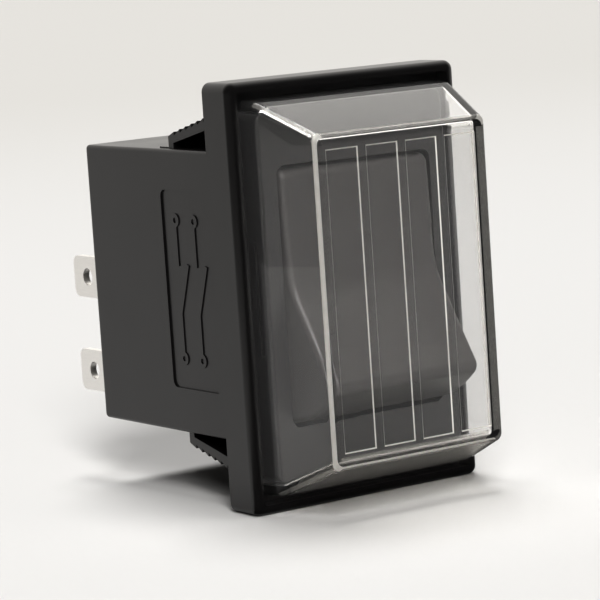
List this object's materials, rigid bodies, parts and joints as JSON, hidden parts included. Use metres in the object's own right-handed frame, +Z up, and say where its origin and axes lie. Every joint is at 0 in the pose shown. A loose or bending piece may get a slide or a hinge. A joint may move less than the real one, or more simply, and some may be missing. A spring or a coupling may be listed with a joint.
{
  "type": "rocker switch",
  "caption": "Panel-mount rocker switch, double pole, with a concave black rocker under a clear splash hood, serrated snap-in arms and blade terminals.",
  "frame": {"origin": "centre of the bezel's back face, which sits on the panel", "axes": "+Y back into the panel, +Z up the bezel, +X to the right as seen from the front"},
  "size_m": [0.0298, 0.0495, 0.046],
  "materials": {
    "black_nylon": "satin moulded",
    "black_rocker": "fine matt",
    "clear_hood": "clear gloss",
    "tinned_brass": "tin plated",
    "brass": "bright",
    "contact_silver": "bright",
    "white_nylon": "satin",
    "spring_steel": "bright drawn"
  },
  "bodies": {
    "body": {"housing": "black_nylon", "splash_hood": "clear_hood", "terminal_base": "black_nylon", "fixed_contact_left": "contact_silver", "fixed_contact_right": "contact_silver", "terminal_common_left": "tinned_brass", "terminal_common_right": "tinned_brass", "terminal_load_left": "tinned_brass", "terminal_load_right": "tinned_brass"},
    "rocker": {"rocker": "black_rocker", "spring_left": "spring_steel", "spring_right": "spring_steel"},
    "plunger_left": {"plunger_left": "white_nylon"},
    "plunger_right": {"plunger_right": "white_nylon"},
    "contact_bar_left": {"contact_bar_left": "brass", "moving_contact_left": "contact_silver"},
    "contact_bar_right": {"contact_bar_right": "brass", "moving_contact_right": "contact_silver"}
  },
  "joints": [
    {"name": "rocker_turn", "type": "hinge", "parent": "body", "child": "rocker", "pos_m": [0, -0.0032, 0], "axis": [1, 0, 0], "range_deg": [0, 34.8]},
    {"name": "contact_bar_left_seesaw", "type": "hinge", "parent": "body", "child": "contact_bar_left", "pos_m": [0, 0.015, 0], "axis": [1, 0, 0], "range_deg": [-14, 0]},
    {"name": "contact_bar_right_seesaw", "type": "hinge", "parent": "body", "child": "contact_bar_right", "pos_m": [0, 0.015, 0], "axis": [1, 0, 0], "range_deg": [-14, 0]},
    {"name": "plunger_left_slide", "type": "slide", "parent": "rocker", "child": "plunger_left", "axis": [0, -0.9542, 0.299], "range_m": [0, 0.0009], "stiffness_N_per_m": 400, "deforming": ["spring_left"]},
    {"name": "plunger_right_slide", "type": "slide", "parent": "rocker", "child": "plunger_right", "axis": [0, -0.9542, 0.299], "range_m": [0, 0.0009], "stiffness_N_per_m": 400, "deforming": ["spring_right"]}
  ],
  "couplings": [
    {"joint": "contact_bar_left_seesaw", "follows": "rocker_turn", "ratio": -0.4023},
    {"joint": "contact_bar_right_seesaw", "follows": "rocker_turn", "ratio": -0.4023}
  ]
}
